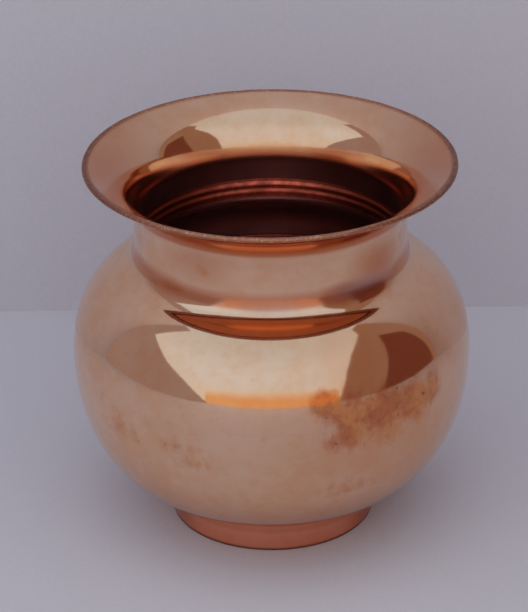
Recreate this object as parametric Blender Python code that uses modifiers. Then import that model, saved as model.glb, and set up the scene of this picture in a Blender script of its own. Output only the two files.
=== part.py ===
"""A copper lota: a round water pot of three spun copper shells on a soldered foot ring.

Run it with: blender --background --python part.py
The pot stands on the XY plane with its axis on +Z. Lengths are in metres.
"""
import math

import bpy
from mathutils import Vector

MM = 0.001

# Sheet copper, and the gap kept between neighbouring pieces
SHEET = 0.7 * MM
GAP = 0.3 * MM
LAP_STEP = SHEET + GAP

# Belly: its widest place, and how full the curves below and above it are
BELLY_RADIUS = 55.0 * MM
BELLY_HEIGHT = 50.8 * MM
BELLY_FULLNESS_BELOW = 27.8 * MM
BELLY_FULLNESS_ABOVE = 17.9 * MM
SHOULDER_FULLNESS = 2.6 * MM

# Foot: where the bowl meets the foot ring, and the ring itself
FOOT_JOIN_RADIUS = 28.7 * MM
FOOT_JOIN_HEIGHT = 8.9 * MM
FOOT_JOIN_SLOPE = math.radians(18.0)
FOOT_JOIN_FULLNESS = 11.8 * MM
BASE_KNUCKLE_RADIUS = 36.0 * MM
FOOT_BOTTOM_RADIUS = 28.3 * MM
FOOT_WALL = 1.3 * MM
FOOT_EDGE_CHAMFER = 0.2 * MM
FOOT_SOLDER_LEG = 1.7 * MM

# Neck: cove onto the shoulder, bend into the flare, and hemmed edge.
# The cove is three arcs from the neck down, each given as its radius, its turn and its number of steps.
NECK_RADIUS = 37.3 * MM
COVE_TOP_HEIGHT = 84.6 * MM
COVE_ARCS = (
    (17.0 * MM, math.radians(19.6), 2),
    (3.5 * MM, math.radians(27.9), 2),
    (13.4 * MM, math.radians(11.9), 1),
)
COVE_TURN = sum(turn for radius, turn, steps in COVE_ARCS)
COLLAR_TOP_TURN = math.radians(17.5)
BEND_HEIGHT = 89.5 * MM
BEND_RADIUS = 8.0 * MM
FLARE_LEAN = math.radians(13.9)
FLARE_RISE = 8.2 * MM
LIP_FOLD_RADIUS = 50.2 * MM
LIP_FOLD_HEIGHT = 105.1 * MM
LIP_SLOPE = math.radians(25.0)
LIP_REACH = 10.4 * MM
HEM_WIDTH = 2.6 * MM

# Lap of the bowl inside the shoulder, and the rings of brazing metal
JOGGLE_LENGTH = 1.6 * MM
BELLY_BRAZE_LEG = 1.3 * MM
BELLY_BRAZE_WIDTH = 0.6 * MM
NECK_BRAZE_LEG = 3.0 * MM
NECK_BRAZE_WIDTH = 0.95 * MM

# How finely curves are divided, and how close two points are one
TURN_STEPS = 48
BASE_STEPS = 3
BOWL_STEPS = 7
SHOULDER_STEPS = 7
BEND_STEPS = 2
LIP_STEPS = 8
HEM_STEPS = 4
MERGE = 0.02 * MM

# Finish of each metal: colour and roughness
POLISHED_COPPER = ((0.80, 0.44, 0.30, 1.0), 0.12)
RUBBED_COPPER = ((0.70, 0.33, 0.22, 1.0), 0.20)
BRAZING_METAL = ((0.74, 0.52, 0.30, 1.0), 0.40)
SOFT_SOLDER = ((0.52, 0.47, 0.42, 1.0), 0.50)


def point(radius, height):
    """A point of a profile, which is drawn on the XZ plane at +X."""
    return Vector((radius, height))


def slope(angle):
    """The unit direction that leaves the axis and climbs at this angle."""
    return point(math.cos(angle), math.sin(angle))


def arc(centre, radius, start, end, steps):
    """Points on a circle from one angle to another."""
    angles = [start + (end - start) * step / steps for step in range(steps + 1)]
    return [centre + radius * slope(angle) for angle in angles]


def bezier(start, leave, arrive, end, steps):
    """Points on a cubic curve that leaves start towards leave and comes to end from arrive."""
    points = []
    for step in range(steps + 1):
        t = step / steps
        s = 1.0 - t
        points.append(s**3 * start + 3 * s * s * t * leave + 3 * s * t * t * arrive + t**3 * end)
    return points


def inset(line, depth):
    """A line that climbs the outside of the pot, moved into the wall by depth."""
    moved = []
    last = len(line) - 1
    for index, here in enumerate(line):
        along = (line[min(index + 1, last)] - line[max(index - 1, 0)]).normalized()
        moved.append(here + depth * point(-along.y, along.x))
    return moved


def knuckle_centre():
    """Centre of the wide curve that rounds the base up to the foot ring."""
    join = point(FOOT_JOIN_RADIUS, FOOT_JOIN_HEIGHT)
    return join + BASE_KNUCKLE_RADIUS * slope(FOOT_JOIN_SLOPE + math.pi / 2)


def base_line():
    """Outside of the base, from the axis out to the foot ring: a flat disc and its knuckle."""
    end = FOOT_JOIN_SLOPE - math.pi / 2
    knuckle = arc(knuckle_centre(), BASE_KNUCKLE_RADIUS, -math.pi / 2, end, BASE_STEPS)
    return [point(0.0, knuckle[0].y)] + knuckle


def under_bowl(radius):
    """The point at this radius that lies a gap below the base's knuckle."""
    centre = knuckle_centre()
    reach = BASE_KNUCKLE_RADIUS + GAP
    return point(radius, centre.y - math.sqrt(reach**2 - (radius - centre.x) ** 2))


def bowl_line():
    """Outside of the bowl, from the foot ring up to the widest place."""
    start = point(FOOT_JOIN_RADIUS, FOOT_JOIN_HEIGHT)
    end = point(BELLY_RADIUS, BELLY_HEIGHT)
    leave = start + FOOT_JOIN_FULLNESS * slope(FOOT_JOIN_SLOPE)
    return bezier(start, leave, end - point(0.0, BELLY_FULLNESS_BELOW), end, BOWL_STEPS)


def cove_line(depth=0.0, top_turn=0.0):
    """The hollow curve from the shoulder up into the neck, set into the wall by depth."""
    place = point(NECK_RADIUS, COVE_TOP_HEIGHT)
    start = 0.0
    line = []
    for radius, turn, steps in COVE_ARCS:
        centre = place + radius * slope(start)
        end = start + turn
        line += arc(centre, radius + depth, math.pi + max(start, top_turn), math.pi + end, steps)[len(line) > 0 :]
        place = centre - radius * slope(end)
        start = end
    return line[::-1]


def shoulder_line():
    """Outside of the shoulder, from the widest place up to the cove."""
    start = point(BELLY_RADIUS, BELLY_HEIGHT)
    end = cove_line()[0]
    arrive = end + SHOULDER_FULLNESS * slope(COVE_TURN - math.pi / 2)
    return bezier(start, start + point(0.0, BELLY_FULLNESS_ABOVE), arrive, end, SHOULDER_STEPS)


def lip_line():
    """Underside of the flare, from the neck's bend up and out to the fold of the hem."""
    centre = point(NECK_RADIUS + BEND_RADIUS, BEND_HEIGHT)
    bend = arc(centre, BEND_RADIUS, math.pi, math.pi - FLARE_LEAN, BEND_STEPS)
    leave = bend[-1] + FLARE_RISE * slope(math.pi / 2 - FLARE_LEAN)
    end = point(LIP_FOLD_RADIUS, LIP_FOLD_HEIGHT)
    arrive = end - LIP_REACH * slope(LIP_SLOPE)
    return bend[:-1] + bezier(bend[-1], leave, arrive, end, LIP_STEPS)


def bowl_lap(depth):
    """Foot and rim of the bowl's lap inside the shoulder, set into the wall by depth."""
    return inset(shoulder_line()[:2], depth)


def lower_bowl_profile():
    """The bowl: up its inside from the axis, over the stepped rim, and down its outside."""
    outside = base_line() + bowl_line()[1:]
    inside = inset(outside, SHEET)[:-1]
    lap_foot, lap_rim = bowl_lap(LAP_STEP)
    inner_foot, inner_rim = bowl_lap(LAP_STEP + SHEET)
    step_inside = [
        point(BELLY_RADIUS - SHEET, BELLY_HEIGHT - JOGGLE_LENGTH),
        point(inner_foot.x, BELLY_HEIGHT - SHEET),
    ]
    step_outside = [point(lap_foot.x, BELLY_HEIGHT)]
    return inside + step_inside + [inner_rim, lap_rim] + step_outside + outside[::-1]


def shoulder_profile():
    """The upper shell: up its inside to the collar's edge, and down its outside."""
    wall = shoulder_line()
    wall[0] = wall[0] + point(0.0, GAP)
    inside = inset(wall, SHEET)[:-1]
    collar_inside = cove_line(LAP_STEP + SHEET, COLLAR_TOP_TURN)
    collar_outside = cove_line(LAP_STEP, COLLAR_TOP_TURN)
    past_seam = GAP * slope(COVE_TURN - math.pi / 2)
    step_outside = [collar_outside[0] + past_seam, wall[-1] + past_seam]
    return inside + collar_inside + collar_outside[:0:-1] + step_outside + wall[-2::-1]


def neck_profile():
    """Neck and lip: up the inside to the edge, round the folded hem, and down the outside."""
    flare = lip_line()
    outside = cove_line() + flare
    inside = inset(outside, SHEET)
    edge_start = LIP_SLOPE + math.pi / 2
    edge = arc(flare[-1], SHEET, edge_start, edge_start - math.pi, HEM_STEPS)
    hem_end = flare[-1] - HEM_WIDTH * slope(LIP_SLOPE)
    hem = [edge[-1] - HEM_WIDTH * slope(LIP_SLOPE), hem_end]
    below_hem = [place for place in outside if place.x < hem_end.x]
    return inside[:-1] + edge + hem + below_hem[::-1]


def foot_ring_profile():
    """The ring the pot stands on: a band whose upper edge follows the bowl."""
    inner = FOOT_BOTTOM_RADIUS - FOOT_WALL
    top_inner = under_bowl(inner)
    top_outer = under_bowl(FOOT_JOIN_RADIUS)
    chamfer = FOOT_EDGE_CHAMFER
    return [
        point(inner + chamfer, 0.0),
        point(inner, chamfer),
        top_inner,
        top_outer,
        point(FOOT_BOTTOM_RADIUS, chamfer),
        point(FOOT_BOTTOM_RADIUS - chamfer, 0.0),
    ]


def foot_solder_profile():
    """Solder in the corner between the foot ring's inside and the bowl."""
    corner_radius = FOOT_BOTTOM_RADIUS - FOOT_WALL - GAP
    corner = under_bowl(corner_radius)
    return [under_bowl(corner_radius - FOOT_SOLDER_LEG), corner, corner - point(0.0, FOOT_SOLDER_LEG)]


def braze_profile(edge, along, leg, width):
    """Brazing metal above a lapped edge, with its back along the wall outside the lap."""
    back = edge + GAP * along
    inward = point(-along.y, along.x)
    return [back + width * inward, back + leg * along, back]


def belly_braze_profile():
    """Brazing metal on the bowl's stepped rim, inside the shoulder."""
    rim, above = inset(shoulder_line(), LAP_STEP)[1:3]
    return braze_profile(rim, (above - rim).normalized(), BELLY_BRAZE_LEG, BELLY_BRAZE_WIDTH)


def neck_braze_profile():
    """Brazing metal on the shoulder's collar, inside the neck."""
    edge = cove_line(LAP_STEP, COLLAR_TOP_TURN)[-1]
    above = cove_line(LAP_STEP, COLLAR_TOP_TURN / 2)[-1]
    return braze_profile(edge, (above - edge).normalized(), NECK_BRAZE_LEG, NECK_BRAZE_WIDTH)


def metal(name, finish):
    """A metal of this colour and roughness."""
    colour, roughness = finish
    material = bpy.data.materials.new(name)
    material.use_nodes = True
    shader = material.node_tree.nodes["Principled BSDF"]
    shader.inputs["Base Color"].default_value = colour
    shader.inputs["Metallic"].default_value = 1.0
    shader.inputs["Roughness"].default_value = roughness
    return material


def turned(name, profile, finish, axis, closed=True):
    """A turned piece: its profile swept once round the pot's axis."""
    count = len(profile)
    edges = [(index, index + 1) for index in range(count - 1)]
    if closed:
        edges.append((count - 1, 0))
    mesh = bpy.data.meshes.new(name)
    mesh.from_pydata([(place.x, 0.0, place.y) for place in profile], edges, [])
    mesh.materials.append(metal(name + "_metal", finish))
    piece = bpy.data.objects.new(name, mesh)
    piece.parent = axis
    axis.users_collection[0].objects.link(piece)
    screw = piece.modifiers.new("turn", "SCREW")
    screw.axis = "Z"
    screw.angle = math.tau
    screw.steps = TURN_STEPS
    screw.render_steps = TURN_STEPS
    screw.use_merge_vertices = True
    screw.merge_threshold = MERGE
    screw.use_smooth_shade = True
    return piece


def pot_axis():
    """The empty on the pot's axis that carries every piece, in the pot's collection."""
    lota = bpy.data.collections.new("copper_lota")
    bpy.context.scene.collection.children.link(lota)
    axis = bpy.data.objects.new("lota_axis", None)
    lota.objects.link(axis)
    return axis


def main():
    for old in list(bpy.data.objects):
        bpy.data.objects.remove(old, do_unlink=True)
    axis = pot_axis()
    turned("lower_bowl", lower_bowl_profile(), POLISHED_COPPER, axis, closed=False)
    turned("shoulder", shoulder_profile(), POLISHED_COPPER, axis)
    turned("neck", neck_profile(), POLISHED_COPPER, axis)
    turned("foot_ring", foot_ring_profile(), RUBBED_COPPER, axis)
    turned("belly_braze", belly_braze_profile(), BRAZING_METAL, axis)
    turned("neck_braze", neck_braze_profile(), BRAZING_METAL, axis)
    turned("foot_solder", foot_solder_profile(), SOFT_SOLDER, axis)


main()
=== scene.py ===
import math

import bmesh
import bpy
from mathutils import Euler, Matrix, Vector, noise


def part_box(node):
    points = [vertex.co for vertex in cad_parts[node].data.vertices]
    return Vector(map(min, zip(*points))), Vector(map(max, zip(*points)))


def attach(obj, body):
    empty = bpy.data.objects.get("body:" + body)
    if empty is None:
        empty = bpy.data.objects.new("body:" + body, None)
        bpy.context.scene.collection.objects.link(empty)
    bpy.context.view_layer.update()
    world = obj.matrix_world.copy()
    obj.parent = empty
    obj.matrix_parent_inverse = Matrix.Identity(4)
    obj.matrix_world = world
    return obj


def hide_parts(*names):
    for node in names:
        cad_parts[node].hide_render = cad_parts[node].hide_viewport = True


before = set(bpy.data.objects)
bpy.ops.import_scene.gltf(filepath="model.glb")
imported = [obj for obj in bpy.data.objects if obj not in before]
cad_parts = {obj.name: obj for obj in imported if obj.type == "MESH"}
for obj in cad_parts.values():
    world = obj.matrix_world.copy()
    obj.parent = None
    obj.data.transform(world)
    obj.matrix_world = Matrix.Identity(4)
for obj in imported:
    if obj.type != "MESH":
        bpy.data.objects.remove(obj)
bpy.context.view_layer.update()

bl_info = {
    "name": "Copper Lota",
    "version": (1, 0, 0),
    "blender": (4, 5, 0),
    "location": "View3D > Sidebar > Lota",
    "description": "A spun and polished copper water pot on a foot ring, with its finishes and a plain stage",
    "category": "Add Mesh",
}

MM = 0.001
BODY = "root"

# Height of the photograph's frame in pixels, and width of the camera's sensor in millimetres
FRAME_HEIGHT = 612
SENSOR_WIDTH = 36.0

# How near and how far the camera sees, in metres
CAMERA_NEAR = 0.05
CAMERA_FAR = 50.0

# How finely the turned pieces are divided
TURN_STEPS = 256
BASE_STEPS = 12
FOOT_STEPS = 24
BOWL_STEPS = 56
LAP_STEPS = 7
SHOULDER_STEPS = 7 * LAP_STEPS
COVE_STEPS = 14
WALL_STEPS = 8
BEND_STEPS = 10
LIP_STEPS = 56
HEM_STEPS = 12
BRAZE_STEPS = 40
SOLDER_STEPS = 6
EDGE_STEPS = 3

# Edges that turn by more than this stay sharp, and points that are closer than this become one
SHARP_ANGLE = math.radians(35.0)
MERGE = 0.001 * MM

# Ripples over the height of a ring of brazing metal, the share of its height where one of them faces upwards,
# and how high they are inside the belly, as a share of those inside the neck
BRAZE_RIPPLES = 2.44
BRAZE_HOLLOW = 0.37
BELLY_RIPPLE = 0.2

# Length of the waves in the spun sheet, and of the long and the short waves in the hem. The short ones are
# half as high as the long ones.
SHEET_WAVE = 16.0 * MM
HEM_LONG_WAVE = 4.0 * MM
HEM_SHORT_WAVE = 1.2 * MM

# How far wear climbs from the foot's lower edge, in roundings of that edge
FOOT_WEAR = 5.0

# Attributes that the copper reads: how oxidised, worn and tarnished a spot is, and its way along the profile.
# Tarnish goes from 0, clean, over 1, brown, to 2, almost black; besides real tarnish it carries painted shade
# and painted reflection.
OXIDE = "oxide"
WEAR = "wear"
TARNISH_AND_PAINTED_SHADE = "tarnish_and_painted_shade"
ALONG = "along"

# Bands of oxide, wear and tarnish, some of them painted shade: strength, and the two places between which a
# band sets in or fades.
# Bowl, browner towards the bottom, and the foot's lower edge, grime with a painted contact shadow, by height
# above the floor
BOWL_BROWNER_BELOW = (0.27, 14.0 * MM, 40.0 * MM)
FOOT_GRIME_AND_PAINTED_SHADOW = (1.7, 0.2 * MM, 0.9 * MM)
# Upper half of the foot ring, a painted shadow under the belly, by share of its height
FOOT_PAINTED_SHADOW = (0.4, 0.58, 0.70)
# Inside of the neck, by height above its bend
UNPOLISHED = (1.0, -1.0 * MM, 3.4 * MM)
FAINT_BROWN = (0.3, 3.5 * MM, 6.0 * MM)
STRONG_BROWN = (1.0, 1.0 * MM, 3.8 * MM)
# Lip, by distance from its edge
RUBBED_EDGE = (0.8, -1.2 * MM, -0.4 * MM)
# Underside of the lip, painted shade under the overhang, by height above the hem's fold
UNDER_LIP = (1.0, -11.4 * MM, -9.6 * MM)
# Foot of the neck, a band that is partly tarnish in the groove and partly a painted dark reflection, by
# height above the cove's top
COVE_BAND_FOOT = (0.75, -5.9 * MM, -4.9 * MM)
COVE_BAND_HEAD = (1.0, -3.0 * MM, 0.2 * MM)

# Noise patterns in the finishes: waves per metre, detail and roughness
CLOUDS = (45.0, 4.0, 0.6)
MOTTLE = (240.0, 4.0, 0.65)
STREAKS = (320.0, 3.0, 0.6)
DAPPLES = (650.0, 3.0, 0.6)
PATCHES = (140.0, 3.0, 0.6)
GRAIN = (1500.0, 2.0, 0.6)
SMEARS = (120.0, 3.0, 0.6)
TOOL_MARKS = (1400.0, 3.0, 0.6)
BRAZE_LUMPS = (300.0, 3.0, 0.6)
SOLDER_LUMPS = (500.0, 3.0, 0.6)
WEAVE = (900.0, 3.0, 0.7)

# Specks per metre, and how streaks are scaled along X, Y and Z, which draws them out along the pot's axis
SPECK_SCALE = 420.0
STREAK_SCALE = (1.0, 1.0, 0.4)

# Depth of the tool marks in the copper, and of the grain at its worn edges
TOOL_MARK_DEPTH = 0.0015 * MM
GRAIN_DEPTH = 0.15 * MM

# Slanting upper edges of the side cards, as places along Y and heights, from the front to the back
LEFT_CARD_EDGE = ((-0.86, 0.0), (-0.50, 0.25), (-0.28, 0.37), (0.0, 0.56))
RIGHT_CARD_EDGE = ((-0.83, 0.0), (-0.60, 0.456), (-0.42, 0.67), (-0.28, 0.77), (-0.10, 0.90))

# Corners of the dark flag, as places along Y and heights, and its distance as a share of the right card's
FLAG_CORNERS = ((0.09, 0.0), (-0.33, 0.0), (-0.06, 0.62), (0.05, 0.42))
FLAG_STAND = 0.98

# Half width of the low card ahead of the pot, its place along Y, and heights where it starts to fade and ends
LOW_CARD = (0.70, -0.95, 0.11, 0.30)

# Width of the square floor
FLOOR_WIDTH = 8.0

# Where the sky goes over into its middle and into its high colour, from 0 at the horizon to 1 straight above
SKY_MIDDLE_RISE = (0.0, 0.45)
SKY_HIGH_RISE = (0.55, 0.98)


def length(name, description, default):
    """A length for the sidebar."""
    return bpy.props.FloatProperty(
        name=name, description=description, default=default, unit="LENGTH", subtype="DISTANCE", precision=5
    )


def angle(name, description, default):
    """An angle for the sidebar."""
    return bpy.props.FloatProperty(
        name=name, description=description, default=default, unit="ROTATION", subtype="ANGLE"
    )


def share(name, description, default):
    """A number from 0 to 1 for the sidebar."""
    return bpy.props.FloatProperty(
        name=name, description=description, default=default, min=0.0, max=1.0, subtype="FACTOR"
    )


def colour(name, description, default):
    """A colour for the sidebar."""
    return bpy.props.FloatVectorProperty(
        name=name, description=description, default=default, min=0.0, max=1.0, size=3, subtype="COLOR"
    )


class LotaSizes(bpy.types.PropertyGroup):
    """Sizes of the pot's pieces."""

    sheet: length("Sheet", "Thickness of the copper sheet", 0.7 * MM)
    seam: length("Seam", "Hairline left where two polished pieces meet", 0.01 * MM)
    lap_step: length("Lap step", "How far a lapped wall is set in behind the wall over it", 1.0 * MM)
    belly_radius: length("Belly radius", "Radius at the widest place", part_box("shoulder")[1].x)
    belly_height: length("Belly height", "Height of the widest place", 50.8 * MM)
    fullness_below: length("Fullness below", "Reach of the bowl's curve below the widest place", 27.8 * MM)
    fullness_above: length(
        "Fullness above", "Reach of the shoulder's curve above the widest place", 17.9 * MM
    )
    shoulder_fullness: length("Shoulder fullness", "Reach of the shoulder's curve at the cove", 2.6 * MM)
    foot_join_radius: length("Foot join radius", "Radius where the bowl meets the foot ring", 28.7 * MM)
    foot_join_height: length("Foot join height", "Height where the bowl meets the foot ring", 8.9 * MM)
    foot_join_slope: angle("Foot join slope", "Slope of the bowl at the foot ring", math.radians(18.0))
    foot_join_fullness: length("Foot join fullness", "Reach of the bowl's curve at the foot ring", 11.8 * MM)
    knuckle_radius: length("Knuckle radius", "Radius of the curve that rounds the base", 36.0 * MM)
    foot_bottom_radius: length("Foot bottom radius", "Outer radius of the ring's standing face", 28.3 * MM)
    foot_wall: length("Foot wall", "Thickness of the foot ring", 1.3 * MM)
    foot_edge: length("Foot edge", "Rounding of the foot ring's lower edges", 0.25 * MM)
    solder_leg: length("Solder leg", "Width of the solder inside the foot", 1.7 * MM)
    neck_radius: length("Neck radius", "Outer radius of the straight neck", 37.3 * MM)
    cove_top: length("Cove top", "Height where the neck starts to lean out into its cove", 84.6 * MM)
    skirt_radius: length("Skirt radius", "Radius of the cove's upper curve", 17.0 * MM)
    skirt_turn: angle("Skirt turn", "How far the cove's upper curve turns", math.radians(19.6))
    cove_radius: length("Cove radius", "Radius of the hollow between shoulder and neck", 3.5 * MM)
    cove_turn: angle("Cove turn", "How far the hollow turns", math.radians(27.9))
    hip_radius: length("Hip radius", "Radius of the cove's lower curve", 13.4 * MM)
    hip_turn: angle("Hip turn", "How far the cove's lower curve turns", math.radians(11.9))
    collar_turn: angle("Collar turn", "Where the shoulder's collar ends inside the neck", math.radians(17.5))
    bend_height: length("Bend height", "Height where the straight neck starts to bend outwards", 89.5 * MM)
    bend_radius: length("Bend radius", "Radius of the bend from the neck into the flare", 8.0 * MM)
    flare_lean: angle("Flare lean", "How far the bend turns the wall outwards", math.radians(13.9))
    flare_rise: length("Flare rise", "Reach of the flare's curve at the bend", 8.2 * MM)
    fold_radius: length("Fold radius", "Radius of the hem's fold", 50.2 * MM)
    fold_height: length("Fold height", "Height of the hem's fold", 105.1 * MM)
    lip_slope: angle("Lip slope", "Slope of the lip at its edge", math.radians(25.0))
    lip_reach: length("Lip reach", "Reach of the flare's curve at the edge", 10.4 * MM)
    hem_width: length("Hem width", "Width of the sheet folded under the lip", 2.6 * MM)
    joggle: length("Joggle", "Length of the step in the bowl's rim", 1.6 * MM)
    belly_braze_leg: length("Belly braze leg", "Height of the brazing metal inside the belly", 1.3 * MM)
    belly_braze_width: length("Belly braze width", "Width of the brazing metal inside the belly", 0.6 * MM)
    neck_braze_leg: length("Neck braze leg", "Height of the brazing metal inside the neck", 4.9 * MM)
    neck_braze_width: length("Neck braze width", "Width of the brazing metal inside the neck", 1.45 * MM)
    braze_ripple: length("Braze ripple", "Height of the ripples in the brazing metal", 0.13 * MM)
    unevenness: length("Unevenness", "How far the spun sheet departs from true", 0.02 * MM)
    hem_unevenness: length("Hem unevenness", "How far the folded edge departs from true", 0.06 * MM)


class LotaFinishes(bpy.types.PropertyGroup):
    """Colours and gloss of the pot's metals."""

    copper: colour("Copper", "Polished copper", (0.86, 0.555, 0.37))
    copper_warm: colour("Warm copper", "Copper where the polish has started to turn", (0.83, 0.475, 0.28))
    # The foot ring's copper is redder and brighter than the shells': part of that is painted reflection of
    # copper-tinted bounce light on the floor
    foot_copper: colour("Foot copper", "Copper of the foot ring", (1.0, 0.42, 0.26))
    foot_copper_warm_with_painted_bounce: colour("Warm foot copper", "Foot ring where its polish has turned", (0.98, 0.36, 0.20))
    # Brown of the stains, also used for the painted shade and painted reflection
    tarnish_and_painted_shade: colour("Tarnish", "Brown stains on the belly", (0.62, 0.20, 0.085))
    tarnish_light: colour("Light tarnish", "Orange parts of the stains", (0.76, 0.30, 0.105))
    # Also the near-black of the painted shade past 1, and of the hem at the lip's sides
    speck: colour("Specks", "Dark specks of oxide", (0.26, 0.10, 0.06))
    # Also the colour of the dull dirt and painted dark reflection at the neck's foot
    oxide: colour("Oxide", "Unpolished copper inside the pot", (0.60, 0.37, 0.35))
    hem: colour("Hem", "Rough edge of the lip", (0.42, 0.17, 0.10))
    braze: colour("Braze", "Brazing metal", (0.80, 0.155, 0.09))
    solder: colour("Solder", "Soft solder inside the foot", (0.52, 0.47, 0.42))
    polish: share("Polish", "Roughness of the polished copper", 0.06)
    stain_roughness: share("Stain roughness", "Roughness of the stains", 0.16)
    oxide_roughness: share("Oxide roughness", "Roughness inside the pot", 0.24)
    hem_roughness: share("Hem roughness", "Roughness of the lip's edge", 0.34)


class LotaStage(bpy.types.PropertyGroup):
    """Floor, backdrop, light and camera."""

    floor: colour("Floor", "Floor cloth", (0.58, 0.585, 0.675))
    backdrop: colour("Backdrop", "Backdrop cloth", (0.58, 0.585, 0.675))
    left_card: colour("Left card", "Grey card on the pot's left", (0.33, 0.275, 0.295))
    right_card: colour("Right card", "Warm grey card on the pot's right", (0.30, 0.20, 0.16))
    flag: colour("Flag", "Dark flag in front of the right card", (0.16, 0.058, 0.042))
    low_card: colour("Low card", "Warm card on the floor ahead of the pot", (0.77, 0.50, 0.27))
    sky_low: colour("Low sky", "Soft light near the floor", (0.74, 0.80, 0.80))
    sky_middle: colour("Middle sky", "Soft light ahead of the pot", (0.69, 0.83, 0.99))
    sky_high: colour("High sky", "Soft light above the pot", (0.58, 0.695, 0.81))
    light_level: bpy.props.FloatProperty(
        name="Light level",
        description="Strength of the soft light, where 1 shows a colour as it is",
        default=1.35,
    )
    backdrop_distance: length("Backdrop distance", "How far the backdrop stands behind the pot", 0.123)
    backdrop_height: length("Backdrop height", "Height of the backdrop", 1.10)
    card_distance: length("Card distance", "How far the side cards stand from the pot", 0.60)
    camera_back: length("Camera back", "How far the camera stands in front of the pot", 0.74457)
    camera_height: length("Camera height", "Height of the camera", 0.42927)
    camera_aim: length("Camera aim", "Height of the point that the camera is set on", 0.052)
    focal_pixels: bpy.props.FloatProperty(
        name="Focal length", description="Focal length in pixels of the frame", default=3000.0
    )
    camera_pan: angle("Camera pan", "Turn of the camera to the left", math.radians(0.1442))
    camera_tilt: angle("Camera tilt", "Turn of the camera upwards", math.radians(0.5953))
    camera_roll: angle("Camera roll", "Turn of the camera about its axis", math.radians(-0.556))


def point(radius, height):
    """A point of a profile, which is drawn on the XZ plane at +X."""
    return Vector((radius, height))


def slope(turn):
    """The unit direction that leaves the axis and climbs at this angle."""
    return point(math.cos(turn), math.sin(turn))


def arc(centre, radius, start, end, steps):
    """Points on a circle from one angle to another."""
    return [centre + radius * slope(start + (end - start) * step / steps) for step in range(steps + 1)]


def bezier(start, leave, arrive, end, steps):
    """Points on a cubic curve that leaves start towards leave and comes to end from arrive."""
    points = []
    for step in range(steps + 1):
        t = step / steps
        s = 1.0 - t
        points.append(s**3 * start + 3 * s * s * t * leave + 3 * s * t * t * arrive + t**3 * end)
    return points


def inset(line, depth):
    """A line that climbs the outside of the pot, moved into the wall by depth."""
    moved = []
    last = len(line) - 1
    for index, here in enumerate(line):
        along = (line[min(index + 1, last)] - line[max(index - 1, 0)]).normalized()
        moved.append(here + depth * point(-along.y, along.x))
    return moved


def smooth_step(low, high, value):
    """0 below low, 1 above high, and a soft rise between them."""
    t = min(1.0, max(0.0, (value - low) / (high - low)))
    return t * t * (3.0 - 2.0 * t)


def sets_in(band, value):
    """Strength of a band at a value, when it sets in between its two places."""
    strength, low, high = band
    return strength * smooth_step(low, high, value)


def fades(band, value):
    """Strength of a band at a value, when it fades between its two places."""
    strength, low, high = band
    return strength * (1.0 - smooth_step(low, high, value))


def knuckle_centre(sizes):
    """Centre of the wide curve that rounds the base up to the foot ring."""
    join = point(sizes.foot_join_radius, sizes.foot_join_height)
    return join + sizes.knuckle_radius * slope(sizes.foot_join_slope + math.pi / 2)


def base_line(sizes):
    """Outside of the base, from the axis out to the foot ring: a flat disc and its knuckle."""
    end = sizes.foot_join_slope - math.pi / 2
    knuckle = arc(knuckle_centre(sizes), sizes.knuckle_radius, -math.pi / 2, end, BASE_STEPS)
    disc = [point(knuckle[0].x * step / BASE_STEPS, knuckle[0].y) for step in range(BASE_STEPS)]
    return disc + knuckle


def under_bowl(sizes, radius):
    """The point at this radius that lies a hairline below the base's knuckle."""
    centre = knuckle_centre(sizes)
    reach = sizes.knuckle_radius + sizes.seam
    return point(radius, centre.y - math.sqrt(reach**2 - (radius - centre.x) ** 2))


def bowl_line(sizes):
    """Outside of the bowl, from the foot ring up to the widest place."""
    start = point(sizes.foot_join_radius, sizes.foot_join_height)
    end = point(sizes.belly_radius, sizes.belly_height)
    leave = start + sizes.foot_join_fullness * slope(sizes.foot_join_slope)
    return bezier(start, leave, end - point(0.0, sizes.fullness_below), end, BOWL_STEPS)


def cove_line(sizes, depth=0.0, top_turn=0.0):
    """The hollow curve from the shoulder up into the neck, in three arcs, set into the wall by depth."""
    place = point(sizes.neck_radius, sizes.cove_top)
    start = 0.0
    line = []
    for radius, turn in (
        (sizes.skirt_radius, sizes.skirt_turn),
        (sizes.cove_radius, sizes.cove_turn),
        (sizes.hip_radius, sizes.hip_turn),
    ):
        centre = place + radius * slope(start)
        end = start + turn
        piece = arc(centre, radius + depth, math.pi + max(start, top_turn), math.pi + end, COVE_STEPS)
        line += piece[1:] if line else piece
        place = centre - radius * slope(end)
        start = end
    return line[::-1]


def down_shoulder(sizes):
    """The unit direction down the shoulder where it leaves the cove."""
    return slope(sizes.skirt_turn + sizes.cove_turn + sizes.hip_turn - math.pi / 2)


def shoulder_line(sizes):
    """Outside of the shoulder, from the widest place up to the cove."""
    start = point(sizes.belly_radius, sizes.belly_height)
    end = cove_line(sizes)[0]
    leave = start + point(0.0, sizes.fullness_above)
    arrive = end + sizes.shoulder_fullness * down_shoulder(sizes)
    return bezier(start, leave, arrive, end, SHOULDER_STEPS)


def lip_line(sizes):
    """Underside of the flare, from the neck's bend up and out to the fold of the hem."""
    centre = point(sizes.neck_radius + sizes.bend_radius, sizes.bend_height)
    bend = arc(centre, sizes.bend_radius, math.pi, math.pi - sizes.flare_lean, BEND_STEPS)
    leave = bend[-1] + sizes.flare_rise * slope(math.pi / 2 - sizes.flare_lean)
    end = point(sizes.fold_radius, sizes.fold_height)
    arrive = end - sizes.lip_reach * slope(sizes.lip_slope)
    return bend[:-1] + bezier(bend[-1], leave, arrive, end, LIP_STEPS)


def neck_wall(sizes):
    """Outside of the straight neck, from the cove's top up to the bend."""
    foot, head = point(sizes.neck_radius, sizes.cove_top), point(sizes.neck_radius, sizes.bend_height)
    return [foot.lerp(head, step / WALL_STEPS) for step in range(WALL_STEPS + 1)]


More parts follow.
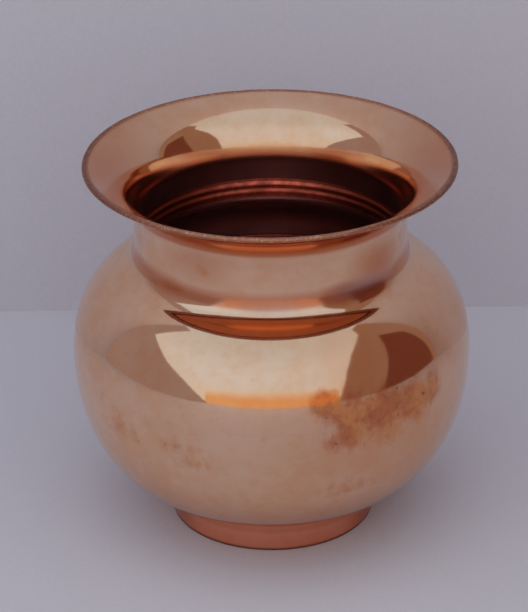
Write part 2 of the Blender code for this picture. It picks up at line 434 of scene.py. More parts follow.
def marked(line, oxide, wear=0.0, tarnish_and_painted_shade=0.0):
    """Profile points with how oxidised, worn and tarnished they are, each a number or read from the point.
    Their tarnish also holds painted shade.
    """
    states = (oxide, wear, tarnish_and_painted_shade)
    return [(place, *(state(place) if callable(state) else state for state in states)) for place in line]


def lower_bowl_profile(sizes):
    """The bowl: up its inside from the axis, over the stepped rim, and down its outside."""
    base = base_line(sizes)
    wall = bowl_line(sizes)[1:]
    lap = shoulder_line(sizes)[: LAP_STEPS + 1]
    rim_inside = inset(lap, sizes.lap_step + sizes.sheet)
    rim_outside = inset(lap, sizes.lap_step)
    step_start = point(sizes.belly_radius - sizes.sheet, sizes.belly_height - sizes.joggle)
    inside = [place for place in inset(base + wall, sizes.sheet) if place.y < step_start.y]
    rim_inside[0] = point(rim_inside[0].x, sizes.belly_height - sizes.sheet)

    def brown_below(place):
        return fades(BOWL_BROWNER_BELOW, place.y)

    def oxidised_base(place):
        return 0.0 if place.x > sizes.foot_join_radius - sizes.sheet else 0.7

    profile = marked(inside + [step_start] + rim_inside + rim_outside[::-1], oxide=1.0)
    profile += marked(wall[::-1], oxide=0.0, tarnish_and_painted_shade=brown_below)
    return profile + marked(base[::-1], oxide=oxidised_base)


def shoulder_profile(sizes):
    """The upper shell: up its inside to the collar's edge, and down its outside."""
    wall = shoulder_line(sizes)
    wall[0] = wall[0] + point(0.0, sizes.seam)
    collar_inside = cove_line(sizes, sizes.lap_step + sizes.sheet, sizes.collar_turn)
    collar_outside = cove_line(sizes, sizes.lap_step, sizes.collar_turn)
    past_seam = sizes.seam * down_shoulder(sizes)
    step_outside = [collar_outside[0] + past_seam, wall[-1] + past_seam]
    inside = inset(wall, sizes.sheet)[:-1] + collar_inside + collar_outside[:0:-1]
    profile = marked(inside + step_outside[:1], oxide=1.0)
    return profile + marked(step_outside[1:] + wall[-2::-1], oxide=0.0)


def neck_profile(sizes):
    """Neck and lip: up the inside to the edge, round the folded hem, and down the outside."""
    flare = lip_line(sizes)
    outside = cove_line(sizes) + neck_wall(sizes)[1:-1] + flare
    inside = inset(outside, sizes.sheet)[:-1]
    edge_start = sizes.lip_slope + math.pi / 2
    edge = arc(flare[-1], sizes.sheet, edge_start, edge_start - math.pi, HEM_STEPS)
    hem_end = flare[-1] - sizes.hem_width * slope(sizes.lip_slope)
    hem = [edge[-1] - sizes.hem_width * slope(sizes.lip_slope), hem_end]
    below_hem = [place for place in outside if place.x < hem_end.x]

    def unpolished(place):
        return fades(UNPOLISHED, place.y - sizes.bend_height)

    def brown_inside(place):
        height = place.y - sizes.bend_height
        return fades(FAINT_BROWN, height) + fades(STRONG_BROWN, height)

    def rubbed_edge(place):
        return sets_in(RUBBED_EDGE, place.x - edge[0].x)

    # Painted shade under the lip, and the band at the neck's foot, partly tarnish and partly painted dark
    # reflection
    def brown_and_painted_shade_outside(place):
        height = place.y - sizes.cove_top
        cove_band = sets_in(COVE_BAND_FOOT, height) * fades(COVE_BAND_HEAD, height)
        return max(sets_in(UNDER_LIP, place.y - sizes.fold_height), cove_band)

    profile = marked(inside, oxide=unpolished, wear=rubbed_edge, tarnish_and_painted_shade=brown_inside)
    profile += marked(edge[:-1], oxide=0.0, wear=1.0)
    profile += marked(edge[-1:] + hem, oxide=0.3, wear=0.3, tarnish_and_painted_shade=1.5)
    return profile + marked(below_hem[::-1], oxide=0.0, tarnish_and_painted_shade=brown_and_painted_shade_outside)


def foot_ring_profile(sizes):
    """The ring the pot stands on: a band whose upper edge follows the bowl."""
    inner = sizes.foot_bottom_radius - sizes.foot_wall
    inner_edge = [point(inner, 0.0), under_bowl(sizes, inner)]
    top, bottom = under_bowl(sizes, sizes.foot_join_radius), point(sizes.foot_bottom_radius, 0.0)
    outer_edge = [top.lerp(bottom, step / FOOT_STEPS) for step in range(FOOT_STEPS + 1)]

    # Painted shadow under the belly on the ring's upper half, and grime with a painted contact shadow at its
    # lower edge
    def grime_and_painted_shadow(place):
        return max(sets_in(FOOT_PAINTED_SHADOW, place.y / top.y), fades(FOOT_GRIME_AND_PAINTED_SHADOW, place.y))

    return marked(inner_edge, oxide=0.8) + marked(outer_edge, oxide=0.0, tarnish_and_painted_shade=grime_and_painted_shadow)


def foot_solder_profile(sizes):
    """Solder in the corner between the foot ring's inside and the bowl."""
    corner_radius = sizes.foot_bottom_radius - sizes.foot_wall - sizes.seam
    corner = under_bowl(sizes, corner_radius)
    leg = sizes.solder_leg
    toe = under_bowl(sizes, corner_radius - leg)
    foot = corner - point(0.0, leg)
    hollow = (toe + foot + corner) / 3.0
    return marked([toe, corner, foot] + bezier(foot, hollow, hollow, toe, SOLDER_STEPS)[1:-1], oxide=0.0)


def braze_profile(wall, width, ripple):
    """Rippled brazing metal that climbs a wall from a lapped edge and thins out upwards."""
    face = []
    for step, (back, front) in enumerate(zip(wall, inset(wall, width))):
        t = step / BRAZE_STEPS
        wave = math.sin(math.tau * BRAZE_RIPPLES * (BRAZE_HOLLOW - t)) * math.sqrt(math.sin(math.pi * t))
        face.append(back.lerp(front, 1.0 - t + wave * ripple / width))
    return marked(face + wall[-2::-1], oxide=0.0)


def belly_braze_profile(sizes):
    """Brazing metal on the bowl's stepped rim, inside the shoulder."""
    inside = inset(shoulder_line(sizes), sizes.sheet + sizes.seam)
    rim, above = inside[LAP_STEPS], inside[2 * LAP_STEPS]
    along = (above - rim).normalized()
    foot = rim + sizes.seam * along
    wall = [foot + sizes.belly_braze_leg * step / BRAZE_STEPS * along for step in range(BRAZE_STEPS + 1)]
    width = sizes.belly_braze_width + sizes.lap_step - sizes.sheet
    return braze_profile(wall, width, BELLY_RIPPLE * sizes.braze_ripple)


def neck_braze_profile(sizes):
    """Brazing metal on the shoulder's collar, inside the neck."""
    centre = point(sizes.neck_radius + sizes.skirt_radius, sizes.cove_top)
    radius = sizes.skirt_radius + sizes.sheet + sizes.seam
    foot = math.pi + sizes.collar_turn - sizes.seam / radius
    wall = arc(centre, radius, foot, foot - sizes.neck_braze_leg / radius, BRAZE_STEPS)
    width = sizes.neck_braze_width + sizes.lap_step - sizes.sheet
    return braze_profile(wall, width, sizes.braze_ripple)


def spin_profile(profile, closed):
    """A bmesh of a profile swept once round the pot's axis."""
    bm = bmesh.new()
    oxide = bm.verts.layers.float.new(OXIDE)
    wear = bm.verts.layers.float.new(WEAR)
    tarnish_and_painted_shade = bm.verts.layers.float.new(TARNISH_AND_PAINTED_SHADE)
    along = bm.verts.layers.float.new(ALONG)
    way = 0.0
    line = []
    for place, oxidised, worn, tarnish_and_shade_level in profile:
        vert = bm.verts.new((place.x, 0.0, place.y))
        way += (vert.co - line[-1].co).length if line else 0.0
        vert[oxide] = oxidised
        vert[wear] = worn
        vert[tarnish_and_painted_shade] = tarnish_and_shade_level
        vert[along] = way
        line.append(vert)
    ends = line[1:] + (line[:1] if closed else [])
    for start, end in zip(line, ends):
        bm.edges.new((start, end))
    bmesh.ops.spin(
        bm,
        geom=bm.verts[:] + bm.edges[:],
        cent=(0.0, 0.0, 0.0),
        axis=(0.0, 0.0, 1.0),
        angle=math.tau,
        steps=TURN_STEPS,
        use_merge=True,
    )
    bmesh.ops.remove_doubles(bm, verts=bm.verts[:], dist=MERGE)
    bmesh.ops.recalc_face_normals(bm, faces=bm.faces[:])
    return bm


def round_rings(bm, offset, picks):
    """Rounds the sharp rings of a turned piece that picks accepts."""
    rings = [edge for edge in bm.edges if edge.calc_face_angle(0.0) > SHARP_ANGLE and picks(edge)]
    bmesh.ops.bevel(
        bm,
        geom=rings,
        offset=offset,
        offset_type="OFFSET",
        segments=EDGE_STEPS,
        profile=0.5,
        affect="EDGES",
        material=-1,
    )


def make_uneven(bm, height):
    """Moves a turned piece's wall in and out by up to height, in long waves."""
    for vert in bm.verts:
        outward = Vector((vert.co.x, vert.co.y, 0.0))
        if outward.length > MM:
            vert.co += height * noise.noise(vert.co / SHEET_WAVE) * outward.normalized()


def finish_piece(bm, name, finish):
    """Makes a bmesh a piece of the pot that stands for the CAD node of that name."""
    for face in bm.faces:
        face.smooth = True
    for edge in bm.edges:
        edge.smooth = edge.calc_face_angle(0.0) < SHARP_ANGLE
    mesh = bpy.data.meshes.new(name)
    bm.to_mesh(mesh)
    bm.free()
    mesh.materials.append(finish)
    piece = bpy.data.objects.new(name + "_finished", mesh)
    bpy.context.scene.collection.objects.link(piece)
    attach(piece, BODY)
    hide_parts(name)


class NodeBench:
    """Adds nodes to a tree and links them."""

    def __init__(self, tree):
        self.tree = tree
        tree.nodes.clear()

    def add(self, kind, inputs=None, **settings):
        """A new node with these settings and inputs."""
        node = self.tree.nodes.new(kind)
        for name, value in settings.items():
            setattr(node, name, value)
        for socket, value in (inputs or {}).items():
            self.feed(node.inputs[socket], value)
        return node

    def feed(self, socket, value):
        """Links a socket to another, or sets it to a value."""
        if isinstance(value, bpy.types.NodeSocket):
            self.tree.links.new(value, socket)
        else:
            socket.default_value = value

    def math(self, operation, *values):
        """One number from others, by a Math node."""
        return self.add("ShaderNodeMath", dict(enumerate(values)), operation=operation).outputs[0]

    def mix(self, factor, first, second):
        """A colour between two others."""
        node = self.add("ShaderNodeMix", {0: factor, 6: first, 7: second}, data_type="RGBA")
        return node.outputs[2]

    def blend(self, factor, first, second):
        """A number between two others."""
        return self.add("ShaderNodeMix", {0: factor, 2: first, 3: second}, data_type="FLOAT").outputs[0]

    def rise(self, value, low, high, top=1.0):
        """0 where value is below low, top where it is above high, and a soft rise between them."""
        inputs = {"Value": value, "From Min": low, "From Max": high, "To Min": 0.0, "To Max": top}
        return self.add("ShaderNodeMapRange", inputs, interpolation_type="SMOOTHSTEP").outputs[0]

    def noise(self, place, pattern):
        """A noise pattern over a place in space, or over a way when that is one number."""
        scale, detail, roughness = pattern
        inputs = {"Scale": scale, "Detail": detail, "Roughness": roughness}
        if place.type == "VECTOR":
            node = self.add("ShaderNodeTexNoise", {"Vector": place, **inputs})
        else:
            node = self.add("ShaderNodeTexNoise", {"W": place, **inputs}, noise_dimensions="1D")
        return node.outputs["Fac"]

    def object_place(self):
        """Where a point lies on the pot."""
        return self.add("ShaderNodeTexCoord").outputs["Object"]

    def attribute(self, name):
        """A number that the mesh holds under this name."""
        return self.add("ShaderNodeAttribute", attribute_name=name).outputs["Fac"]

    def spot(self, place, centre, reach):
        """1 at centre and 0 at reach from it, which may differ along X, Y and Z."""
        moved = self.add("ShaderNodeVectorMath", {0: place, 1: centre}, operation="SUBTRACT").outputs[0]
        scaled = self.add("ShaderNodeVectorMath", {0: moved, 1: reach}, operation="DIVIDE").outputs[0]
        away = self.add("ShaderNodeVectorMath", {0: scaled}, operation="LENGTH").outputs["Value"]
        return self.rise(self.math("SUBTRACT", 1.0, away), 0.0, 1.0)

    def spots(self, place, spot_list):
        """The strongest of several spots, each given as its centre, its reach and its strength."""
        strongest = 0.0
        for centre, reach, strength in spot_list:
            one = self.math("MULTIPLY", self.spot(place, centre, reach), strength)
            strongest = self.math("MAXIMUM", strongest, one)
        return strongest

    def metal(self, base, roughness, normal):
        """A metal surface and the tree's output."""
        inputs = {"Base Color": base, "Metallic": 1.0, "Roughness": roughness, "Normal": normal}
        shader = self.add("ShaderNodeBsdfPrincipled", inputs)
        self.add("ShaderNodeOutputMaterial", {"Surface": shader.outputs[0]})

    def bump(self, height, distance, normal=None):
        """A surface with fine relief up to this distance high, over another relief where one is given."""
        inputs = {"Height": height, "Distance": distance, "Strength": 1.0}
        if normal is not None:
            inputs["Normal"] = normal
        return self.add("ShaderNodeBump", inputs).outputs[0]


def solid(tint):
    """A colour with full alpha."""
    return (*tint, 1.0)


def toned(tint, level):
    """A colour made darker, or paler where level is above 1."""
    return tuple(min(1.0, level * part) for part in tint)


def new_finish(name):
    """An empty material and the bench for its nodes."""
    material = bpy.data.materials.new(name)
    material.use_nodes = True
    return material, NodeBench(material.node_tree)


# Ragged brown stains: centre, reach along X, Y and Z, and strength
STAINS = (
    ((0.0140, -0.0523, 0.0587), (0.0078, 0.0078, 0.0065), 1.3),
    ((0.0205, -0.0506, 0.0550), (0.0150, 0.0150, 0.0110), 1.0),
    ((0.0295, -0.0463, 0.0540), (0.0150, 0.0150, 0.0110), 1.25),
    ((0.0375, -0.0400, 0.0530), (0.0140, 0.0140, 0.0100), 1.2),
    ((0.0425, -0.0345, 0.0545), (0.0085, 0.0085, 0.0090), 0.8),
    ((0.0215, -0.0505, 0.0490), (0.0140, 0.0140, 0.0090), 0.9),
    ((0.0300, -0.0460, 0.0475), (0.0130, 0.0130, 0.0085), 0.7),
    ((-0.0231, -0.0493, 0.0421), (0.0120, 0.0120, 0.0100), 0.45),
    ((0.0194, -0.0481, 0.0311), (0.0120, 0.0120, 0.0075), 0.5),
    ((-0.0400, -0.0370, 0.0440), (0.0110, 0.0110, 0.0080), 0.4),
    ((-0.0180, -0.0330, 0.0880), (0.0050, 0.0050, 0.0030), 0.7),
)

# Broad soft shades of the same brown, and painted shade and painted reflection where marked: centre, reach
# along X, Y and Z, and strength
TINTS_AND_PAINTED_SHADE = (
    ((0.0300, -0.0450, 0.0480), (0.0450, 0.0450, 0.0400), 0.28),
    ((0.0480, -0.0240, 0.0660), (0.0300, 0.0300, 0.0260), 0.20),
    ((-0.0190, -0.0330, 0.0900), (0.0180, 0.0180, 0.0110), 0.50),
    # Painted dark reflection on the neck's right and in the band at its foot
    ((0.0290, -0.0240, 0.0860), (0.0160, 0.0160, 0.0120), 0.80),
    ((0.0190, -0.0325, 0.0812), (0.0150, 0.0150, 0.0044), 1.45),
    ((-0.0265, -0.0265, 0.0810), (0.0180, 0.0180, 0.0042), 1.00),
    # A faint brown over the front of the neck
    ((0.0000, -0.0370, 0.0885), (0.0300, 0.0200, 0.0080), 0.16),
    # Painted shade at the two ends of the foot ring
    ((-0.0270, -0.0080, 0.0040), (0.0110, 0.0200, 0.0090), 0.90),
    ((0.0270, -0.0080, 0.0040), (0.0110, 0.0200, 0.0090), 0.90),
    # Painted reflection of the pot's shadow on the backdrop, at the lip's sides
    ((-0.0460, -0.0050, 0.1040), (0.0300, 0.0600, 0.0200), 0.62),
    ((0.0460, -0.0050, 0.1040), (0.0300, 0.0600, 0.0200), 0.62),
)

# Dull dirt, and a painted dark reflection, at the neck's foot: centre, reach along X, Y and Z, and strength
DIRT_AND_PAINTED_REFLECTION = (
    ((0.0000, -0.0385, 0.0801), (0.0200, 0.0120, 0.0029), 0.90),
    ((0.0250, -0.0290, 0.0815), (0.0170, 0.0170, 0.0044), 0.80),
)

# Where the polish has started to turn: centre, reach along X, Y and Z, and strength
TURNED = (
    ((0.0195, -0.0440, 0.0690), (0.0150, 0.0150, 0.0190), 1.6),
)

# Painted highlight where the brazing metal catches the light at the back; elsewhere it is painted dark:
# centre, reach along X, Y and Z, and strength
BRAZE_PAINTED_HIGHLIGHT = (
    ((0.0000, 0.0360, 0.0815), (0.0280, 0.0800, 0.0400), 1.2),
)


def copper_finish(name, clean, turned, finishes):
    """Polished copper with stains and specks, oxidised inside and rough at the hem, with painted shade and
    painted reflection in some bands and spots.
    """
    material, bench = new_finish(name)
    place = bench.object_place()
    # Oxide, and the dull dirt and painted dark reflection at the neck's foot in the oxide colour
    oxide = bench.math("MAXIMUM", bench.attribute(OXIDE), bench.spots(place, DIRT_AND_PAINTED_REFLECTION))
    wear = bench.attribute(WEAR)
    tarnish_and_painted_shade = bench.attribute(TARNISH_AND_PAINTED_SHADE)

    # Stains with ragged bounds, and soft shades of brown with painted shade and painted reflection
    clouds = bench.noise(place, CLOUDS)
    mottle = bench.noise(place, MOTTLE)
    streak_place = bench.add("ShaderNodeMapping", {"Vector": place, "Scale": STREAK_SCALE}).outputs[0]
    streaks = bench.noise(streak_place, STREAKS)
    ragged = bench.math("MULTIPLY_ADD", bench.blend(0.5, mottle, streaks), 1.8, -0.9)
    stain = bench.rise(bench.math("ADD", bench.spots(place, STAINS), ragged), 0.12, 0.95, 0.95)
    tint_and_painted_shade = bench.math("MAXIMUM", bench.spots(place, TINTS_AND_PAINTED_SHADE), tarnish_and_painted_shade)
    brown = bench.math("MAXIMUM", stain, tint_and_painted_shade)

    # Dark specks, most of them in the stains
    dots = bench.add("ShaderNodeTexVoronoi", {"Vector": place, "Scale": SPECK_SCALE, "Randomness": 1.0})
    chance = bench.add("ShaderNodeSeparateColor", {0: dots.outputs["Color"]}).outputs[0]
    rare = bench.rise(chance, 0.88, 0.92)
    dot = bench.math("SUBTRACT", 1.0, bench.rise(dots.outputs["Distance"], 0.10, 0.30))
    speck = bench.math("MULTIPLY", bench.math("MULTIPLY", dot, rare), bench.math("ADD", stain, 0.08))
    dapple = bench.rise(bench.noise(place, DAPPLES), 0.50, 0.70, 0.40)
    speck = bench.math("MAXIMUM", speck, bench.math("MULTIPLY", dapple, stain))

    # Colours, from the clean copper up to what lies on it
    turning = bench.rise(bench.blend(0.4, clouds, mottle), 0.40, 0.64)
    turning = bench.math("MAXIMUM", turning, bench.spots(place, TURNED))
    turning = bench.math("MINIMUM", turning, 1.0)
    base = bench.mix(turning, solid(clean), solid(turned))
    patches = bench.rise(bench.noise(place, PATCHES), 0.40, 0.60)
    stain_tint = bench.mix(patches, solid(finishes.tarnish_light), solid(finishes.tarnish_and_painted_shade))
    # The brown shades, and the painted shade and painted reflection, in the tarnish colour
    base = bench.mix(tint_and_painted_shade, base, solid(finishes.tarnish_and_painted_shade))
    base = bench.mix(stain, base, stain_tint)
    # Dark specks, and near-black where the tarnish or painted shade goes past 1
    black = bench.math("MAXIMUM", speck, bench.rise(tint_and_painted_shade, 1.0, 2.0))
    base = bench.mix(black, base, solid(finishes.speck))
    dull = bench.mix(bench.rise(clouds, 0.3, 0.7, 0.5), solid(finishes.oxide), solid(finishes.speck))
    base = bench.mix(oxide, base, dull)
    grain = bench.noise(place, GRAIN)
    rough_edge = bench.math("MULTIPLY", wear, bench.rise(grain, 0.1, 0.55))
    # The hem darkens at the lip's sides with the painted reflection there
    edge_tint = bench.mix(bench.rise(tint_and_painted_shade, 0.0, 0.6), solid(finishes.hem), solid(finishes.speck))
    base = bench.mix(rough_edge, base, edge_tint)

    # Gloss
    smears = bench.rise(bench.noise(streak_place, SMEARS), 0.45, 0.8, 0.04)
    roughness = bench.math("ADD", smears, finishes.polish)
    roughness = bench.blend(brown, roughness, finishes.stain_roughness)
    roughness = bench.blend(oxide, roughness, finishes.oxide_roughness)
    roughness = bench.blend(wear, roughness, finishes.hem_roughness)

    # Fine relief
    tool_marks = bench.noise(bench.attribute(ALONG), TOOL_MARKS)
    normal = bench.bump(tool_marks, TOOL_MARK_DEPTH)
    normal = bench.bump(bench.math("MULTIPLY", grain, wear), GRAIN_DEPTH, normal)
    bench.metal(base, roughness, normal)
    return material


def filler_finish(name, tint, lump_pattern, lump_height, dullness, bright=None):
    """Filler metal left as it froze: dull, lumpy and uneven in colour, bright all over, or painted dark all
    over with a painted highlight in some spots.
    """
    material, bench = new_finish(name)
    place = bench.object_place()
    lumps = bench.noise(place, lump_pattern)
    base = bench.mix(bench.rise(lumps, 0.35, 0.7), solid(tint), solid(toned(tint, 0.5)))
    # Painted shade over the whole filler, lifted by a painted highlight in the given spots
    if bright is not None:
        base = bench.mix(bench.spots(place, bright), solid(toned(tint, 0.2)), base)
    roughness = bench.math("ADD", bench.rise(lumps, 0.3, 0.7, 0.15), dullness)
    bench.metal(base, roughness, bench.bump(lumps, lump_height))
    return material


def named_finish(name, make, *settings, **details):
    """The material of this name, made the first time that it is asked for."""
    return bpy.data.materials.get(name) or make(name, *settings, **details)


def shell_copper(context):
    """The copper that the three shells share."""
    finishes = context.scene.lota_finishes
    return named_finish("lota_copper", copper_finish, finishes.copper, finishes.copper_warm, finishes)


def foot_copper(context):
    """The redder copper of the foot ring, partly painted reflection of copper-tinted bounce light."""
    finishes = context.scene.lota_finishes
    clean, turned = finishes.foot_copper, finishes.foot_copper_warm_with_painted_bounce
    return named_finish("lota_foot_copper", copper_finish, clean, turned, finishes)


class LOTA_OT_lower_bowl(bpy.types.Operator):
    """Spin the bowl, from the base up to the widest place and its stepped rim"""

    bl_idname = "lota.lower_bowl"
    bl_label = "Lower bowl"

    def execute(self, context):
        sizes = context.scene.lota_sizes
        bm = spin_profile(lower_bowl_profile(sizes), closed=False)
        make_uneven(bm, sizes.unevenness)
        finish_piece(bm, "lower_bowl", shell_copper(context))
        return {"FINISHED"}


class LOTA_OT_shoulder(bpy.types.Operator):
    """Spin the upper shell, from the widest place to its collar inside the neck"""

    bl_idname = "lota.shoulder"
    bl_label = "Shoulder"

    def execute(self, context):
        sizes = context.scene.lota_sizes
        bm = spin_profile(shoulder_profile(sizes), closed=True)
        make_uneven(bm, sizes.unevenness)
        finish_piece(bm, "shoulder", shell_copper(context))
        return {"FINISHED"}


class LOTA_OT_neck(bpy.types.Operator):
    """Spin the neck and the flared lip, and fold the hem under its edge"""

    bl_idname = "lota.neck"
    bl_label = "Neck and lip"

    def execute(self, context):
        sizes = context.scene.lota_sizes
        bm = spin_profile(neck_profile(sizes), closed=True)
        make_uneven(bm, sizes.unevenness)
        wear = bm.verts.layers.float[WEAR]
        for vert in bm.verts:
            if vert[wear] > 0.0:
                lift = noise.noise(vert.co / HEM_LONG_WAVE) + 0.5 * noise.noise(vert.co / HEM_SHORT_WAVE)
                vert.co.z += sizes.hem_unevenness * lift * vert[wear]
        finish_piece(bm, "neck", shell_copper(context))
        return {"FINISHED"}


class LOTA_OT_foot_ring(bpy.types.Operator):
    """Turn the ring that the pot stands on"""

    bl_idname = "lota.foot_ring"
    bl_label = "Foot ring"

    def execute(self, context):
        sizes = context.scene.lota_sizes
        bm = spin_profile(foot_ring_profile(sizes), closed=True)
        wear = bm.verts.layers.float[WEAR]
        round_rings(bm, sizes.foot_edge, lambda edge: edge.verts[0].co.z < MM and edge.verts[1].co.z < MM)
        for vert in bm.verts:
            vert[wear] = 1.0 - smooth_step(sizes.foot_edge, FOOT_WEAR * sizes.foot_edge, vert.co.z)
        finish_piece(bm, "foot_ring", foot_copper(context))
        return {"FINISHED"}


class LOTA_OT_braze_rings(bpy.types.Operator):
    """Run the two rings of brazing metal along the lapped edges inside the pot"""

    bl_idname = "lota.braze_rings"
    bl_label = "Braze rings"

    def execute(self, context):
        sizes = context.scene.lota_sizes
        finish = named_finish(
            "lota_braze",
            filler_finish,
            context.scene.lota_finishes.braze,
            lump_pattern=BRAZE_LUMPS,
            lump_height=0.03 * MM,
            dullness=0.36,
            bright=BRAZE_PAINTED_HIGHLIGHT,
        )
        for name, profile in (
            ("belly_braze", belly_braze_profile(sizes)),
            ("neck_braze", neck_braze_profile(sizes)),
        ):
            finish_piece(spin_profile(profile, closed=True), name, finish)
        return {"FINISHED"}


class LOTA_OT_foot_solder(bpy.types.Operator):
    """Run the ring of solder inside the foot"""

    bl_idname = "lota.foot_solder"
    bl_label = "Foot solder"

    def execute(self, context):
        sizes = context.scene.lota_sizes
        finish = named_finish(
            "lota_solder",
            filler_finish,
            context.scene.lota_finishes.solder,
            lump_pattern=SOLDER_LUMPS,
            lump_height=0.3 * MM,
            dullness=0.35,
        )
        finish_piece(spin_profile(foot_solder_profile(sizes), closed=True), "foot_solder", finish)
        return {"FINISHED"}


def flat_sheet(width, depth):
    """A bmesh of a flat sheet on the floor, centred under the pot."""
    bm = bmesh.new()
    bmesh.ops.create_grid(bm, x_segments=1, y_segments=1, size=0.5)
    bmesh.ops.scale(bm, vec=(width, depth, 1.0), verts=bm.verts[:])
    return bm


def set_up(bm, name, finish, seen=True):
    """Makes a bmesh a part of the stage, which the camera may see or not."""
    mesh = bpy.data.meshes.new(name)
    bm.to_mesh(mesh)
    bm.free()
    mesh.materials.append(finish)
    thing = bpy.data.objects.new(name, mesh)
    bpy.context.scene.collection.objects.link(thing)
    thing.visible_camera = seen


def cloth_finish(name, tint, see_through_behind):
    """Plain cloth. A sheet that is see-through behind doesn't hide the pot from a camera at its back."""
    material, bench = new_finish(name)
    weave = bench.noise(bench.object_place(), WEAVE)
    base = bench.mix(bench.rise(weave, 0.3, 0.7), solid(tint), solid(toned(tint, 1.04)))
    shader = bench.add("ShaderNodeBsdfDiffuse", {"Color": base}).outputs[0]
    if see_through_behind:
        behind = bench.add("ShaderNodeNewGeometry").outputs["Backfacing"]
        seen = bench.add("ShaderNodeLightPath").outputs["Is Camera Ray"]
        clear = bench.add("ShaderNodeBsdfTransparent").outputs[0]
        hidden = bench.math("MULTIPLY", behind, seen)
        shader = bench.add("ShaderNodeMixShader", {0: hidden, 1: shader, 2: clear}).outputs[0]
    bench.add("ShaderNodeOutputMaterial", {"Surface": shader})
    return material


def card_finish(name, tint, top_tint=None, fade_start=0.0, fade_end=1.0):
    """An evenly lit card, which may fade into another colour towards its top."""
    material, bench = new_finish(name)
    glow = solid(tint)
    if top_tint is not None:
        height = bench.add("ShaderNodeSeparateXYZ", {0: bench.object_place()}).outputs["Z"]
        glow = bench.mix(bench.rise(height, fade_start, fade_end), glow, solid(top_tint))
    lit = bench.add("ShaderNodeEmission", {"Color": glow, "Strength": 1.0}).outputs[0]
    bench.add("ShaderNodeOutputMaterial", {"Surface": lit})
    return material


def lay_floor(stage):
    """The floor under the pot."""
    finish = cloth_finish("stage_floor", stage.floor, False)
    set_up(flat_sheet(FLOOR_WIDTH, FLOOR_WIDTH), "stage_floor", finish)


def hang_backdrop(stage):
    """The backdrop behind the pot."""
    height = stage.backdrop_height
    bm = flat_sheet(2.0 * stage.card_distance, height)
    upright = Euler((math.pi / 2, 0.0, 0.0)).to_matrix()
    bmesh.ops.rotate(bm, cent=(0.0, 0.0, 0.0), matrix=upright, verts=bm.verts[:])
    bmesh.ops.translate(bm, vec=(0.0, stage.backdrop_distance, height / 2), verts=bm.verts[:])
    set_up(bm, "stage_backdrop", cloth_finish("stage_backdrop", stage.backdrop, True))


def stand_card(name, finish, corners):
    """A flat card with these corners that the camera doesn't see."""
    bm = bmesh.new()
    verts = [bm.verts.new(corner) for corner in corners]
    edges = [bm.edges.new((start, end)) for start, end in zip(verts, verts[1:] + verts[:1])]
    bmesh.ops.edgeloop_fill(bm, edges=edges)
    set_up(bm, name, finish, seen=False)


def stand_cards(stage):
    """Cards beside the pot, a dark flag on its right, and a low warm card on the floor ahead of it."""
    back = stage.backdrop_distance
    away = stage.card_distance
    top = stage.backdrop_height
    for name, tint, place, edge in (
        ("stage_card_left", stage.left_card, -away, LEFT_CARD_EDGE),
        ("stage_card_right", stage.right_card, away, RIGHT_CARD_EDGE),
    ):
        outline = ((back, top), (back, 0.0)) + edge + ((0.0, top),)
        stand_card(name, card_finish(name, tint), [(place, y, z) for y, z in outline])
    flag = card_finish("stage_flag", stage.flag)
    stand_card("stage_flag", flag, [(FLAG_STAND * away, y, z) for y, z in FLAG_CORNERS])
    side, front, fade, end = LOW_CARD
    low = card_finish("stage_card_low", stage.low_card, stage.sky_low, fade, end)
    outline = ((-side, 0.0), (side, 0.0), (side, end), (-side, end))
    stand_card("stage_card_low", low, [(x, front, z) for x, z in outline])


def light_world(stage):
    """Even white light for the surfaces, and a pale sky that the camera and the metal see."""
    world = bpy.data.worlds.new("studio_light")
    bpy.context.scene.world = world
    world.use_nodes = True
    bench = NodeBench(world.node_tree)
    direction = bench.add("ShaderNodeTexCoord").outputs["Generated"]
    height = bench.add("ShaderNodeSeparateXYZ", {0: direction}).outputs["Z"]
    tint = bench.mix(bench.rise(height, *SKY_MIDDLE_RISE), solid(stage.sky_low), solid(stage.sky_middle))
    tint = bench.mix(bench.rise(height, *SKY_HIGH_RISE), tint, solid(stage.sky_high))
    sky = bench.add("ShaderNodeBackground", {"Color": tint, "Strength": 1.0}).outputs[0]
    light = bench.add("ShaderNodeBackground", {"Strength": stage.light_level}).outputs[0]
    path = bench.add("ShaderNodeLightPath").outputs
    mirror = bench.math("MAXIMUM", path["Is Glossy Ray"], path["Is Transmission Ray"])
    seen = bench.math("MAXIMUM", path["Is Camera Ray"], mirror)
    shown = bench.add("ShaderNodeMixShader", {0: seen, 1: light, 2: sky}).outputs[0]
    bench.add("ShaderNodeOutputWorld", {"Surface": shown})


def place_camera(stage):
    """The camera at the photograph's viewing angle."""
    data = bpy.data.cameras.new("camera")
    data.sensor_width = SENSOR_WIDTH
    data.lens = stage.focal_pixels * SENSOR_WIDTH / FRAME_HEIGHT
    data.clip_start = CAMERA_NEAR
    data.clip_end = CAMERA_FAR
    camera = bpy.data.objects.new("camera", data)
    bpy.context.scene.collection.objects.link(camera)
    eye = Vector((0.0, -stage.camera_back, stage.camera_height))
    look = (Vector((0.0, 0.0, stage.camera_aim)) - eye).to_track_quat("-Z", "Y")
    turn = Euler((stage.camera_tilt, stage.camera_pan, stage.camera_roll)).to_quaternion()
    camera.location = eye
    camera.rotation_mode = "QUATERNION"
    camera.rotation_quaternion = look @ turn
    bpy.context.scene.camera = camera


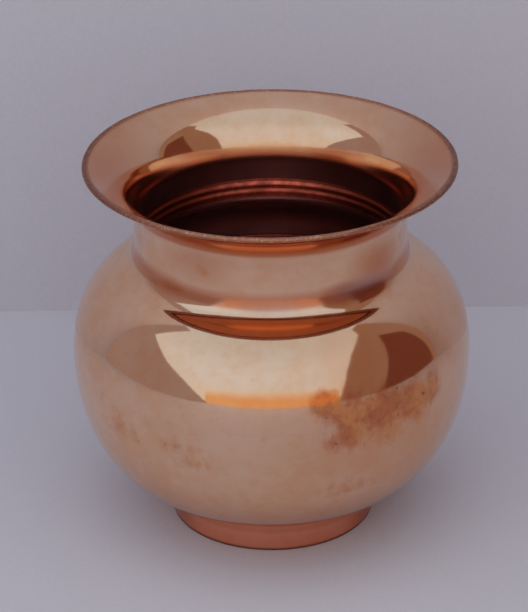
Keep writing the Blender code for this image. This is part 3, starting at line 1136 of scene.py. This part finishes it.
class LOTA_OT_stage(bpy.types.Operator):
    """Lay the floor, hang the backdrop, and set the cards, the light and the camera"""

    bl_idname = "lota.stage"
    bl_label = "Stage"

    def execute(self, context):
        stage = context.scene.lota_stage
        lay_floor(stage)
        hang_backdrop(stage)
        stand_cards(stage)
        light_world(stage)
        place_camera(stage)
        context.scene.view_settings.view_transform = "Standard"
        return {"FINISHED"}


OPERATORS = (
    LOTA_OT_lower_bowl,
    LOTA_OT_shoulder,
    LOTA_OT_neck,
    LOTA_OT_foot_ring,
    LOTA_OT_braze_rings,
    LOTA_OT_foot_solder,
    LOTA_OT_stage,
)


class LOTA_PT_sidebar(bpy.types.Panel):
    """Sizes, finishes and stage of the pot, and a button for each piece"""

    bl_idname = "LOTA_PT_sidebar"
    bl_label = "Copper Lota"
    bl_space_type = "VIEW_3D"
    bl_region_type = "UI"
    bl_category = "Lota"

    def draw(self, context):
        scene = context.scene
        for operator in OPERATORS:
            self.layout.operator(operator.bl_idname)
        for title, group in (
            ("Sizes", scene.lota_sizes),
            ("Finishes", scene.lota_finishes),
            ("Stage", scene.lota_stage),
        ):
            column = self.layout.box().column()
            column.label(text=title)
            for name in group.__annotations__:
                column.prop(group, name)


GROUPS = (LotaSizes, LotaFinishes, LotaStage)
CLASSES = GROUPS + OPERATORS + (LOTA_PT_sidebar,)


def register():
    """Adds the classes, and the pot's properties to the scene."""
    for cls in CLASSES:
        bpy.utils.register_class(cls)
    bpy.types.Scene.lota_sizes = bpy.props.PointerProperty(type=LotaSizes)
    bpy.types.Scene.lota_finishes = bpy.props.PointerProperty(type=LotaFinishes)
    bpy.types.Scene.lota_stage = bpy.props.PointerProperty(type=LotaStage)


def unregister():
    """Takes the properties and the classes away again."""
    del bpy.types.Scene.lota_stage
    del bpy.types.Scene.lota_finishes
    del bpy.types.Scene.lota_sizes
    for cls in reversed(CLASSES):
        bpy.utils.unregister_class(cls)


def main():
    """Makes every piece and the stage."""
    register()
    bpy.ops.lota.lower_bowl()
    bpy.ops.lota.shoulder()
    bpy.ops.lota.neck()
    bpy.ops.lota.foot_ring()
    bpy.ops.lota.braze_rings()
    bpy.ops.lota.foot_solder()
    bpy.ops.lota.stage()


if __name__ == "__main__":
    main()
